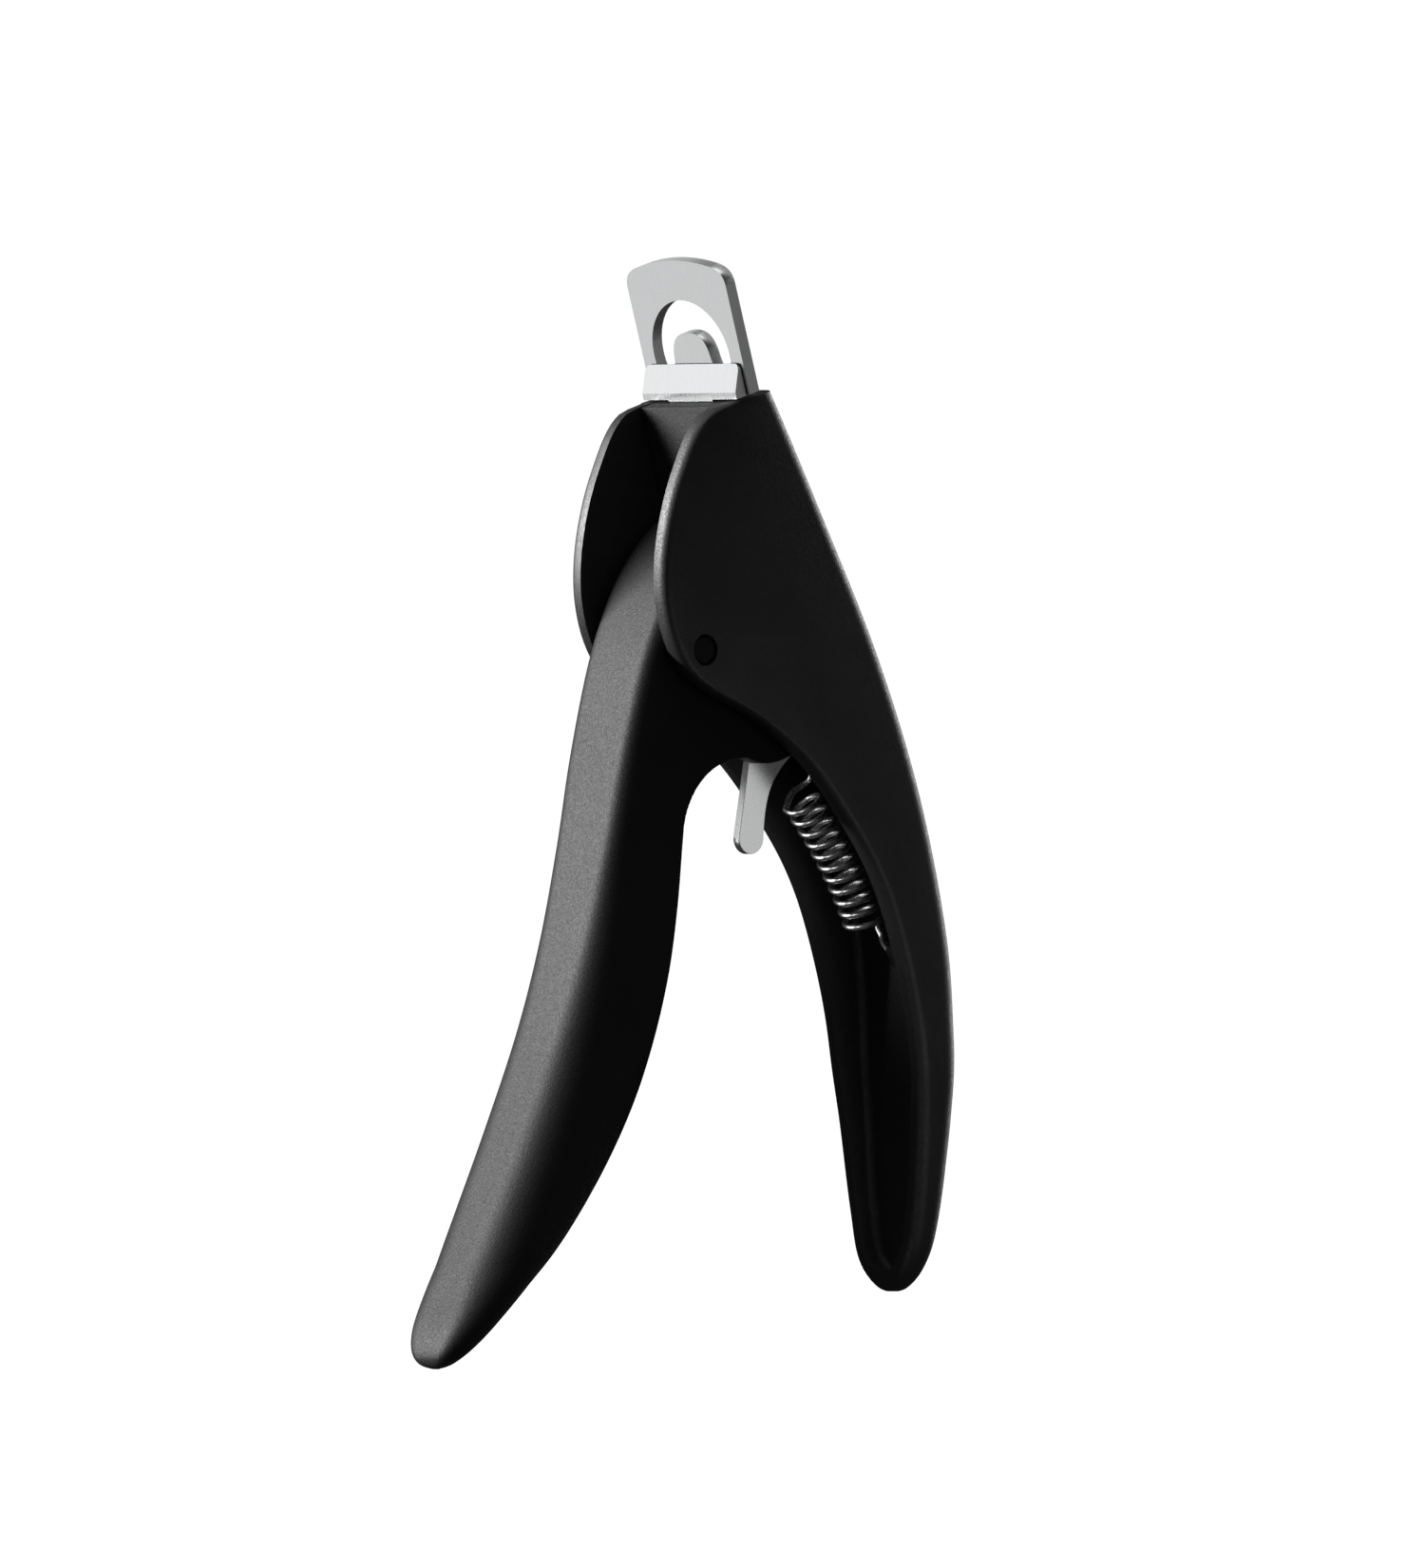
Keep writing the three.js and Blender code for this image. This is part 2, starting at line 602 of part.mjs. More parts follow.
// The block that joins the blade to the drive pin, with a lip under the blade's end.
function bladeCarrier() {
  const { front, back, half, top, bottom, lipTop } = CARRIER;
  const section = polygon([
    [front, top], [back - 0.8, top], [back, top - 0.8], [back, bottom + 1], [back - 1, bottom],
    [BLADE.front, bottom], [BLADE.front, lipTop], [front, lipTop],
  ]);
  let carrier = solid(slab(section, -half, half));
  const pinReach = half + BEYOND;
  const pinHole = rod(DRIVE_PIN.radius + PIN_PLAY, -pinReach, pinReach, DRIVE_PIN.x, DRIVE_PIN.z);
  carrier = carrier.subtract(solid(pinHole));
  for (const y of [-RIVET.y, RIVET.y]) {
    const hole = rodAlongX(RIVET.radius + PIN_PLAY, front - BEYOND, back + BEYOND, y, RIVET.z);
    carrier = carrier.subtract(solid(hole));
  }
  return carrier;
}

function bladeRivet(y) {
  const { z, radius, head, headFront } = RIVET;
  const seat = BLADE.front - SEAT_PLAY;
  const corners = [
    [0, headFront], [head * 0.7, headFront], [head, headFront + 0.3], [head, seat],
    [radius, seat], [radius, CARRIER.back - 0.1], [0, CARRIER.back - 0.1],
  ];
  return solid(turnedAlongX(corners, y, z));
}

function drivePin() {
  const { x, z, radius, half } = DRIVE_PIN;
  const chamfer = 0.3;
  const corners = [
    [0, -half], [radius - chamfer, -half], [radius, -half + chamfer], [radius, half - chamfer],
    [radius - chamfer, half], [0, half],
  ];
  return solid(turned(corners, x, z));
}

// ---------- guide cover, in the head's frame ----------

function guideCover() {
  const { front, wall, back, half, legInside, end, top } = COVER;
  let cover = solid(block(front, wall, -half, half, end, top));
  for (const [low, high] of [[-half, -legInside], [legInside, half]]) {
    cover = cover.add(solid(block(wall - 0.5, back, low, high, end, top)));
  }
  for (const y of [-COVER_SCREW.y, COVER_SCREW.y]) {
    const { z, radius, head, seat } = COVER_SCREW;
    const sink = rodAlongX(head + SCREW_PLAY, front - BEYOND, front + seat + SEAT_PLAY, y, z);
    const shank = rodAlongX(radius + SCREW_PLAY, front, back + BEYOND, y, z);
    cover = cover.subtract(solid(sink)).subtract(solid(shank));
  }
  return cover;
}

function coverScrew(y) {
  const { z, radius, head, seat, tip } = COVER_SCREW;
  const front = COVER.front + 0.2;
  const base = COVER.front + seat;
  const corners = [
    [0, front], [head - 0.25, front], [head, front + 0.25], [head, base],
    [radius, base], [radius, tip], [0, tip],
  ];
  const slot = solid(block(front - 1, front + 0.4, y - 2, y + 2, z - 0.2, z + 0.2));
  return solid(turnedAlongX(corners, y, z)).subtract(slot);
}

// ---------- latch ----------

function lockLatch() {
  const { x, z } = LATCH_PIN;
  const outline = new THREE.Shape();
  outline.absarc(x, z, LATCH.eye, 0.64, Math.PI, false);
  outline.lineTo(13.3, -14.5);
  outline.absarc(13.65, -24.65, 2.15, Math.PI, 2 * Math.PI, false);
  outline.bezierCurveTo(15.9, -22, 16.2, -18.6, 18.3, -16.2);
  outline.quadraticCurveTo(19.6, -14.6, 21, -13.6);
  outline.quadraticCurveTo(21.4, -12.6, 20.6, -11.6);
  const eye = rod(LATCH_PIN.radius + PIN_PLAY, LATCH.near - BEYOND, LATCH.far + BEYOND, x, z);
  return solid(slab(outline, LATCH.near, LATCH.far, 0, 14)).subtract(solid(eye));
}

function latchPin() {
  const { x, z, radius, half } = LATCH_PIN;
  return solid(rod(radius, -half, half, x, z));
}

function latchSpacer() {
  const inner = LATCH_PIN.radius + PIN_PLAY;
  const outer = 1.9;
  const low = LATCH.far + 0.1;
  const high = FORK_HALF - 0.1;
  const corners = [[inner, low], [outer, low], [outer, high], [inner, high], [inner, low]];
  return solid(turned(corners, LATCH_PIN.x, LATCH_PIN.z));
}

// ---------- spring ----------

function springPin() {
  const { x, z, radius, head, near, far } = SPRING_PIN;
  const base = near + 0.6;
  const corners = [[0, near], [head, near], [head, base], [radius, base], [radius, far], [0, far]];
  return solid(turned(corners, x, z));
}

// The top eye: round its pin from the open end under it to the side next to the spine.
function springEye() {
  const points = [];
  for (let angle = 250; angle >= 0; angle -= 25) {
    const turn = THREE.MathUtils.degToRad(angle);
    const x = SPRING_PIN.x + SPRING.eye * Math.cos(turn);
    const z = SPRING_PIN.z + SPRING.eye * Math.sin(turn);
    points.push(new THREE.Vector3(x, 0.8, z));
  }
  return points;
}

// The coil winds round a bowed line from its top to its bottom.
function springCoil() {
  const [top, bend, bottom] = [SPRING.top, SPRING.bend, SPRING.bottom].map((p) => new THREE.Vector3(...p));
  const middle = new THREE.QuadraticBezierCurve3(top, bend, bottom);
  const across = new THREE.Vector3(0, 1, 0);
  const steps = Math.round(12 * SPRING.turns);
  return Array.from({ length: steps + 1 }, (_, i) => {
    const angle = THREE.MathUtils.degToRad(SPRING.firstAngle + (360 * SPRING.turns * i) / steps);
    const towardsSpine = middle.getTangent(i / steps).cross(across).normalize();
    return middle
      .getPoint(i / steps)
      .addScaledVector(towardsSpine, SPRING.coil * Math.cos(angle))
      .addScaledVector(across, SPRING.coil * Math.sin(angle));
  });
}

function springHook() {
  const [x, y, z] = SPRING.hookCentre;
  const points = [];
  for (let angle = 60; angle <= 320; angle += 26) {
    const turn = THREE.MathUtils.degToRad(angle);
    const down = -SPRING.hook * Math.cos(turn);
    const side = y + SPRING.hook * Math.sin(turn);
    points.push(new THREE.Vector3(x + down * HOOK_DOWN[0], side, z + down * HOOK_DOWN[1]));
  }
  return points;
}

function returnSpring() {
  const neck = [
    [26, 0.8, -13.6], [27.9, 1.4, -15.1], [28.7, 2.2, -16.8], [27.9, 3, -17.8], [26.4, 3.3, -18.8],
  ];
  const heel = [[39.2, 0.6, -35.8], [39.4, 0.9, -36.6]];
  const toPoint = (corner) => new THREE.Vector3(...corner);
  const path = new THREE.CatmullRomCurve3([
    ...springEye(), ...neck.map(toPoint), ...springCoil(), ...heel.map(toPoint), ...springHook(),
  ]);
  path.arcLengthDivisions = 2400;
  const sides = 6;
  const section = Array.from({ length: sides }, (_, i) => [
    SPRING.wire * Math.cos((2 * Math.PI * i) / sides),
    SPRING.wire * Math.sin((2 * Math.PI * i) / sides),
  ]);
  return solid(
    new THREE.ExtrudeGeometry(polygon(section), { steps: 200, bevelEnabled: false, extrudePath: path }),
  );
}

// ---------- assembly ----------

const headFrame = new THREE.Group();
headFrame.rotation.y = -THREE.MathUtils.degToRad(HEAD_TURN);
headFrame.add(
  piece("guide_cover", guideCover(), blackPlastic()),
  piece("cover_screw_near", coverScrew(-COVER_SCREW.y), blackenedSteel()),
  piece("cover_screw_far", coverScrew(COVER_SCREW.y), blackenedSteel()),
  piece("fixed_plate", fixedPlate(), brushedSteel()),
  piece("plate_screw_lower", plateScrew(PLATE_SCREW.lower), turnedSteel()),
  piece("plate_screw_upper", plateScrew(PLATE_SCREW.upper), turnedSteel()),
  piece("moving_blade", movingBlade(), brushedSteel()),
  piece("blade_carrier", bladeCarrier(), turnedSteel()),
  piece("blade_rivet_near", bladeRivet(-RIVET.y), turnedSteel()),
  piece("blade_rivet_far", bladeRivet(RIVET.y), turnedSteel()),
  piece("drive_pin", drivePin(), turnedSteel()),
);

const bodyFrame = new THREE.Group();
bodyFrame.rotation.y = THREE.MathUtils.degToRad(STAND_TURN);
bodyFrame.add(
  headFrame,
  piece("body_shell", bodyShell(), blackPlastic()),
  piece("pivot_barrel", pivotBarrel(), blackenedSteel()),
  piece("pivot_screw", pivotScrew(), blackenedSteel()),
  piece("return_spring", returnSpring(), springSteel()),
  piece("lever_handle", leverHandle(), blackPlastic()),
  piece("pivot_bush", pivotBush(), bronze()),
  piece("spring_pin", springPin(), turnedSteel()),
  piece("latch_pin", latchPin(), turnedSteel()),
  piece("latch_spacer", latchSpacer(), blackPlastic()),
  piece("lock_latch", lockLatch(), brushedSteel()),
);

// The origin is on the ground, under the middle of the box round the whole tool.
const box = new THREE.Box3().setFromObject(bodyFrame, true);
bodyFrame.position.set(-(box.min.x + box.max.x) / 2, -(box.min.y + box.max.y) / 2, -box.min.z);

const trimmer = new THREE.Group();
trimmer.add(bodyFrame);

export default trimmer;
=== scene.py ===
"""A pet nail trimmer: fine meshes, materials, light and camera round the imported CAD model.

Pieces are drawn in millimetres in one of two frames that share the pivot: the body's frame, with the
lever towards -X and the spine towards +X, and the head's frame, whose Z axis runs up along the blade.
"""

import json
import math

import bmesh
import bpy
import numpy as np
from mathutils import Matrix, Vector

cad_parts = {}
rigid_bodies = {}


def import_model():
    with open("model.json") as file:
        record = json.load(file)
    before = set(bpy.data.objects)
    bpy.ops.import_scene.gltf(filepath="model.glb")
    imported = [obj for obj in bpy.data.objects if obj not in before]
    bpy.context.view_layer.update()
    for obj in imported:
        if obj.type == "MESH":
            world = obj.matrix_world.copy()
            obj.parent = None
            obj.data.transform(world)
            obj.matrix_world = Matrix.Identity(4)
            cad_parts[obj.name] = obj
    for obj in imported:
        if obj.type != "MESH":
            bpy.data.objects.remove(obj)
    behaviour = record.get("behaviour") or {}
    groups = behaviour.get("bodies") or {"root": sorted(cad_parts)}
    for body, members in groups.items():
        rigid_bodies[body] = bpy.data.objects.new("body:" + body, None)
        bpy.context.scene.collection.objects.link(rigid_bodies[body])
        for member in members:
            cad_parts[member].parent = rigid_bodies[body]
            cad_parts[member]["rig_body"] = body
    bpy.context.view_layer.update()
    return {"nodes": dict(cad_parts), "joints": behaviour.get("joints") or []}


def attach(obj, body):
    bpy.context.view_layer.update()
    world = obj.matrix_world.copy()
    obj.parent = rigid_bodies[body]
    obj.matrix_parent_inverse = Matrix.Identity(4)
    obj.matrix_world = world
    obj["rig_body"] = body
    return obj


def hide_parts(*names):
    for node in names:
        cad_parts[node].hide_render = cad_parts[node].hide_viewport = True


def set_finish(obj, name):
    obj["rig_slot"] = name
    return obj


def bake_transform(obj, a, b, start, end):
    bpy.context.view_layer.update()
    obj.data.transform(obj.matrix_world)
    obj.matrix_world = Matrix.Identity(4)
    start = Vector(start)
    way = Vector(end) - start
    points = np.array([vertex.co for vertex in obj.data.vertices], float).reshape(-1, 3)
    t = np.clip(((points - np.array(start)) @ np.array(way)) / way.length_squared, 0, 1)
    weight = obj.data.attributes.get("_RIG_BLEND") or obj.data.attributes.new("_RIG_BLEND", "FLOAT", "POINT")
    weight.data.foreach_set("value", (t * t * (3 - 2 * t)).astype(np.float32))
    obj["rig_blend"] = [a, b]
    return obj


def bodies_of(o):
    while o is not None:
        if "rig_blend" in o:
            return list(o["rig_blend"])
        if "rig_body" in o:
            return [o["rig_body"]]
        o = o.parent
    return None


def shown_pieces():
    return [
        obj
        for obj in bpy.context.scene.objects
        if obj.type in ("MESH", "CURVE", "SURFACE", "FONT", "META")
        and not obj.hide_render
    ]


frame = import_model()

MM = 0.001
BEZIER_STEPS = 12
LEVEL_STEP = 0.7  # between the level rings of a loft
STAND_TURN = math.radians(6.8)  # turn about Y that stands both handle tips on the floor

joints = {joint["name"]: joint for joint in frame["joints"]}
pivot = Vector(joints["lever_pivot"]["pos_m"])
blade_axis = Vector(joints["blade_slide"]["axis"])
head_turn = math.atan2(blade_axis.x, blade_axis.z)


def frame_at_pivot(turn):
    return Matrix.Translation(pivot) @ Matrix.Rotation(turn, 4, "Y") @ Matrix.Scale(MM, 4)


BODY_FRAME = frame_at_pivot(STAND_TURN)
HEAD_FRAME = frame_at_pivot(head_turn)
HEAD_IN_BODY = BODY_FRAME.inverted() @ HEAD_FRAME

# ---------- meshes ----------


def new_object(name, points, faces):
    mesh = bpy.data.meshes.new(name)
    mesh.from_pydata([tuple(p) for p in points], [], faces)
    obj = bpy.data.objects.new(name, mesh)
    bpy.context.scene.collection.objects.link(obj)
    return obj


def settle(obj):
    """Turns what the modifiers make into the object's own mesh."""
    graph = bpy.context.evaluated_depsgraph_get()
    made = bpy.data.meshes.new_from_object(obj.evaluated_get(graph))
    old = obj.data
    obj.modifiers.clear()
    obj.data = made
    bpy.data.meshes.remove(old)
    return obj


def combine(target, tool, operation):
    modifier = target.modifiers.new("combine", "BOOLEAN")
    modifier.operation = operation
    modifier.solver = "MANIFOLD"
    modifier.object = tool
    settle(target)
    bpy.data.objects.remove(tool)
    return target


def join(target, tool):
    return combine(target, tool, "UNION")


def cut(target, tool):
    return combine(target, tool, "DIFFERENCE")


def keep(target, tool):
    return combine(target, tool, "INTERSECT")


def moulded(obj, cell, rounds):
    """An even skin over the object, with its edges softened as in a moulding."""
    remesh = obj.modifiers.new("skin", "REMESH")
    remesh.mode = "VOXEL"
    remesh.voxel_size = cell
    remesh.use_smooth_shade = True
    smooth = obj.modifiers.new("soften", "SMOOTH")
    smooth.factor = 0.5
    smooth.iterations = rounds
    return settle(obj)


def broken_edges(obj, width, angle, segments=3):
    """Rounds every edge that is sharper than the angle."""
    edge = obj.modifiers.new("edges", "BEVEL")
    edge.width = width
    edge.segments = segments
    edge.limit_method = "ANGLE"
    edge.angle_limit = math.radians(angle)
    return settle(obj)


def smooth(obj, angle):
    """Shades the object smooth, except across edges that are sharper than the angle."""
    for polygon in obj.data.polygons:
        polygon.use_smooth = True
    obj.data.set_sharp_from_angle(angle=math.radians(angle))


def prism(outline, low, high, place=None):
    """An outline of X-Z points, thick from y = low to y = high."""
    count = len(outline)
    points = [(x, low, z) for x, z in outline] + [(x, high, z) for x, z in outline]
    sides = [(i, (i + 1) % count, count + (i + 1) % count, count + i) for i in range(count)]
    faces = sides + [tuple(reversed(range(count))), tuple(range(count, 2 * count))]
    return facing_out(new_object("prism", points, faces), place)


def facing_out(obj, place=None):
    shape = bmesh.new()
    shape.from_mesh(obj.data)
    bmesh.ops.recalc_face_normals(shape, faces=shape.faces)
    shape.to_mesh(obj.data)
    shape.free()
    if place is not None:
        obj.data.transform(place)
    return obj


def block(x0, x1, y0, y1, z0, z1, place=None):
    return prism([(x0, z0), (x1, z0), (x1, z1), (x0, z1)], y0, y1, place)


def rod(radius, low, high, x, z, sides=48):
    """A cylinder along Y."""
    return prism(arc(x, z, radius, 0, 360, sides)[:-1], low, high)


def rod_along_x(radius, low, high, y, z, place=None):
    made = rod(radius, low, high, 0, 0, sides=32)
    made.data.transform(Matrix.Translation((0, y, z)) @ Matrix.Rotation(-math.pi / 2, 4, "Z"))
    return facing_out(made, place)


def arc(x, z, radius, start, end, steps=24):
    turns = np.radians(np.linspace(start, end, steps + 1))
    return [(x + radius * math.cos(a), z + radius * math.sin(a)) for a in turns]


def bezier(*corners):
    """Points of a Bezier curve of any degree."""
    points = []
    for t in np.linspace(0, 1, BEZIER_STEPS + 1):
        row = [Vector(c) for c in corners]
        while len(row) > 1:
            row = [a.lerp(b, t) for a, b in zip(row, row[1:])]
        points.append(tuple(row[0]))
    return points


# ---------- lofts through level sections ----------


def catmull_rom(points, steps):
    """A smooth line through the points, with the given number of steps between neighbours."""
    p = np.array(points, float)
    t = np.linspace(0, 1, steps, endpoint=False)[:, None]
    made = []
    for i in range(len(p) - 1):
        before, after = p[max(i - 1, 0)], p[min(i + 2, len(p) - 1)]
        v0, v1 = (p[i + 1] - before) / 2, (after - p[i]) / 2
        a = 2 * p[i] - 2 * p[i + 1] + v0 + v1
        b = -3 * p[i] + 3 * p[i + 1] - 2 * v0 - v1
        made.append(a * t**3 + b * t**2 + v0 * t + p[i])
    return np.vstack([*made, p[-1:]])


def along(points):
    """A smooth function of height through [height, value] points, listed from the top down."""
    samples = catmull_rom(points, 40)[::-1]
    return lambda z: float(np.interp(z, samples[:, 0], samples[:, 1]))


def ring(z, left, right, half, left_round, right_round, steps):
    """One level ring: a rectangle from left to right and -half to half, with rounded corners."""
    most = 0.49 * min(right - left, 2 * half)
    corners = [
        (right, -half, min(right_round, most), -90),
        (right, half, min(right_round, most), 0),
        (left, half, min(left_round, most), 90),
        (left, -half, min(left_round, most), 180),
    ]
    points = []
    for x, y, radius, start in corners:
        centre_x = x - math.copysign(radius, x - (left + right) / 2)
        centre_y = y - math.copysign(radius, y)
        points += [(a, b, z) for a, b in arc(centre_x, centre_y, radius, start, start + 90, steps)]
    return points


def loft(rings):
    count = len(rings[0])
    faces = []
    for r in range(len(rings) - 1):
        for i in range(count):
            j = (i + 1) % count
            faces.append((r * count + i, r * count + j, (r + 1) * count + j, (r + 1) * count + i))
    last = (len(rings) - 1) * count
    faces += [tuple(reversed(range(count))), tuple(range(last, last + count))]
    return facing_out(new_object("loft", [p for r in rings for p in r], faces))


def heights(low, high, end_steps):
    """Even heights from low to high, with the given closer ones above the low end."""
    count = math.ceil((high - low) / LEVEL_STEP)
    even = [low + (high - low) * i / count for i in range(count + 1)]
    return sorted({low + s for s in end_steps} | set(even))


# ---------- driving dimensions, the same as the CAD model's ----------

BODY_HALF = 9.6
WALL = 2.3
SLOT_HALF = BODY_HALF - WALL
HEAD_TOP = 30.6
HEAD_TOP_TURN = math.radians(12.7)
SPINE_ROUND = 3

BOSS_FRONT, BOSS_BACK, BOSS_END, BOSS_TOP = 18.85, 34, 9.6, 36  # behind the plate, in the head's frame
PAD_FRONT, PAD_INSIDE, PAD_TOP = 16.95, 4.6, 18.3  # under the guide cover's legs
INTO_WALL = 0.5  # how far a boss and the catch's stud run into the cheeks
PLATE_SCREW_HOLE = 1.2
PLATE_SCREW_ENDS = (17, 21.3)
PLATE_SCREW_HEIGHTS = (13, 24.5)
COVER_SCREW_HOLE = 0.9
COVER_SCREW_ENDS = (15, 21.8)
COVER_SCREW_SIDES = (-5.75, 5.75)
COVER_SCREW_HEIGHT = 14

LEVER_HALF = 6.6
LEVER_SWING = 27.5  # degrees that the fork's slot is cleared for
FORK_HALF = 3.4
FORK_ROOT = 12.2

PIVOT_BARREL = 1.86
PIVOT_SEAT = 7.98
PIVOT_RECESS = 2.07
BUSH_BORE = 3.08
DRIVE_PIN = Vector((19.2, -5.2))  # in the head's frame
DRIVE_SLOT = 1.47
LATCH_PIN = Vector((17, -9.5))
LATCH_BORE = 1.16
SPRING_PIN = Vector((23.4, -12.2))
SPRING_PIN_BOSS = 1.75
SPRING_BORE = 0.91
CATCH = Vector((26.9, -17.4))
CATCH_RADIUS = 0.9
CATCH_END = -2.3

SPRING_WIRE = 0.42
SPRING_COIL = 2.3
SPRING_TURNS = 10.57
SPRING_FIRST_ANGLE = 135
SPRING_TOP = Vector((25.94, 1, -19.71))
SPRING_BEND = Vector((33.05, 0.85, -27.6))
SPRING_BOTTOM = Vector((36.78, 0.7, -36.3))
EYE_RADIUS = 1.55
HOOK_RADIUS = 1.9
HOOK_CENTRE = Vector((40, -1.3, -38.4))
HOOK_DOWN = Vector((0.484, -0.875))  # in X and Z, along the spring's lower loop
HOOK_OUT = Vector((0.875, 0.484))
PEG_NEAR, PEG_FAR = 0.9, 0.3  # how far the peg reaches to each side of the hook's middle

# ---------- body ----------

spine_edge = along([
    [40, 8.6], [34.6, 12.5], [17.3, 22.2], [-0.7, 31.7], [-18.7, 39], [-36.7, 43.7],
    [-50, 45.1], [-62, 45.3], [-75, 44.5], [-81.5, 43.4], [-84.6, 41.9],
])
cheek_edge = along([
    [40, 12], [33, 5.4], [31.8, 2.6], [30.9, 0.7], [29, -1.1], [26, -2.8], [20.3, -5.2], [14.3, -6.7],
    [9, -7.1], [4.5, -6.5], [0.5, -5], [-2.8, -2.6], [-5.2, 1], [-7.4, 6.2], [-9.9, 11.2],
    [-15, 18.5], [-22.3, 25.2], [-29.4, 30.3], [-37.5, 33.9], [-48.8, 37], [-61.3, 38.6],
    [-73.8, 39.2], [-81.5, 39.3], [-84.6, 40.6],
])
body_half = along([
    [40, BODY_HALF], [-30, BODY_HALF], [-48, BODY_HALF], [-55, 9.5], [-61, 8.9], [-68, 8.1],
    [-74, 7.2], [-79, 6.1], [-82.3, 4.4], [-84.1, 2.4], [-84.6, 0.8],
])
rim_round = along([[40, 1.3], [10, 1.3], [-10, 1.3], [-35, 1.3], [-50, 1.5], [-84.6, 1.7]])
hollow_half = along([
    [44, SLOT_HALF], [-48, SLOT_HALF], [-55, 7.2], [-61, 6.6], [-68, 5.8], [-74, 4.9], [-77, 4.35],
    [-79, 3.7], [-80.5, 2.8], [-81.5, 1.6], [-82, 0.6],
])
spine_run = along([[44, 2.5], [-60, 2.5], [-75, 2.1], [-82, 1.5]])


def body_outside():
    levels = heights(-84.6, 38, (0.1, 0.25, 0.45, 0.9))
    return loft([
        ring(z, cheek_edge(z), spine_edge(z), body_half(z), rim_round(z), SPINE_ROUND, 7) for z in levels
    ])


def body_hollow():
    levels = heights(-82, 44, (0.1, 0.3, 0.5))
    open_side = 30  # how far the cutting shape runs out past the cheeks' edge
    return loft([
        ring(z, cheek_edge(z) - open_side, spine_edge(z) - spine_run(z), hollow_half(z), 0.3, 1.2, 5)
        for z in levels
    ])


def head_boss():
    """The solid part of the head, with the faces that the plate and the guide cover are screwed to."""
    wide = SLOT_HALF + INTO_WALL
    boss = block(BOSS_FRONT, BOSS_BACK, -wide, wide, BOSS_END, BOSS_TOP, HEAD_IN_BODY)
    for low, high in ((-wide, -PAD_INSIDE), (PAD_INSIDE, wide)):
        join(boss, block(PAD_FRONT, BOSS_FRONT + 1, low, high, BOSS_END, PAD_TOP, HEAD_IN_BODY))
    return boss


def spring_peg():
    """The hooked peg in the channel that holds the spring's lower loop."""
    corners = [
        (-0.3, -3.5), (-0.3, 1), (0.8, 1.4), (3.2, 1.2), (3.2, 0.8), (1.25, 0.75), (1.25, -3.5),
    ]
    centre = Vector((HOOK_CENTRE.x, HOOK_CENTRE.z))
    outline = [centre + down * HOOK_DOWN - out * HOOK_OUT for down, out in corners]
    return prism(outline, HOOK_CENTRE.y - PEG_NEAR, HOOK_CENTRE.y + PEG_FAR)


def body_mesh():
    body = cut(body_outside(), body_hollow())
    join(body, keep(head_boss(), body_outside()))
    join(body, keep(spring_peg(), body_outside()))
    join(body, rod(CATCH_RADIUS, -SLOT_HALF - INTO_WALL, CATCH_END, *CATCH))
    cut(body, block(-60, 60, -20, 20, HEAD_TOP, HEAD_TOP + 60, Matrix.Rotation(-HEAD_TOP_TURN, 4, "Y")))
    broken_edges(body, width=0.5, angle=45, segments=4)
    cut(body, rod(PIVOT_BARREL, -12, 12, 0, 0))
    cut(body, rod(PIVOT_RECESS, -12, -PIVOT_SEAT, 0, 0))
    cut(body, rod(PIVOT_RECESS, PIVOT_SEAT, 12, 0, 0))
    for z in PLATE_SCREW_HEIGHTS:
        cut(body, rod_along_x(PLATE_SCREW_HOLE, *PLATE_SCREW_ENDS, 0, z, HEAD_IN_BODY))
    for y in COVER_SCREW_SIDES:
        cut(body, rod_along_x(COVER_SCREW_HOLE, *COVER_SCREW_ENDS, y, COVER_SCREW_HEIGHT, HEAD_IN_BODY))
    return body


# ---------- lever ----------

lever_front = along([
    [17.3, 6.1], [16.9, 4.6], [14.3, 1.6], [10.5, -1.6], [5.7, -4.4], [-2.2, -7.65], [-14.2, -10.9],
    [-26.2, -13.5], [-38.2, -16.6], [-50.2, -20.8], [-62.2, -26], [-74.2, -31.8], [-84, -36.7],
    [-89, -39.2], [-92, -40.1], [-93.6, -39.7], [-94.1, -38.8],
])
lever_back = along([
    [17.3, 7], [16.2, 7.3], [8.2, 9.6], [2, 8], [-8, 6.4], [-14.5, 5.4], [-17.2, 2.6], [-19.8, 0.6],
    [-24.7, 0], [-33.7, -0.9], [-42.7, -2.45], [-51.7, -5.2], [-60.7, -9.2], [-69.7, -14.65],
    [-78.7, -21.7], [-87.7, -31], [-91.5, -35], [-93.6, -37.5], [-94.1, -38.3],
])
lever_half = along([
    [17.3, LEVER_HALF], [-10, LEVER_HALF], [-26, LEVER_HALF], [-44, 7.1], [-60, 7.7], [-74, 7.8],
    [-82, 7.5], [-88, 6.4], [-91.5, 4.8], [-93.4, 2.8], [-94.1, 0.6],
])
lever_front_round = along([
    [17.3, 1.6], [0, 2], [-26, 2.8], [-50, 4.7], [-62, 5.3], [-75, 5.6], [-94.1, 5.6],
])
lever_back_round = along([[17.3, 1.6], [0, 2], [-26, 2.4], [-55, 4], [-75, 5], [-94.1, 5]])


def lever_stem():
    least = 0.4  # depth left where the front and the back run together
    levels = heights(-94.1, 17.3, (0.05, 0.15, 0.3, 0.5, 0.9))
    rings = []
    for z in levels:
        front = lever_front(z)
        back_edge = max(lever_back(z), front + least)
        rings.append(ring(z, front, back_edge, lever_half(z), lever_front_round(z), lever_back_round(z), 9))
    return loft(rings)


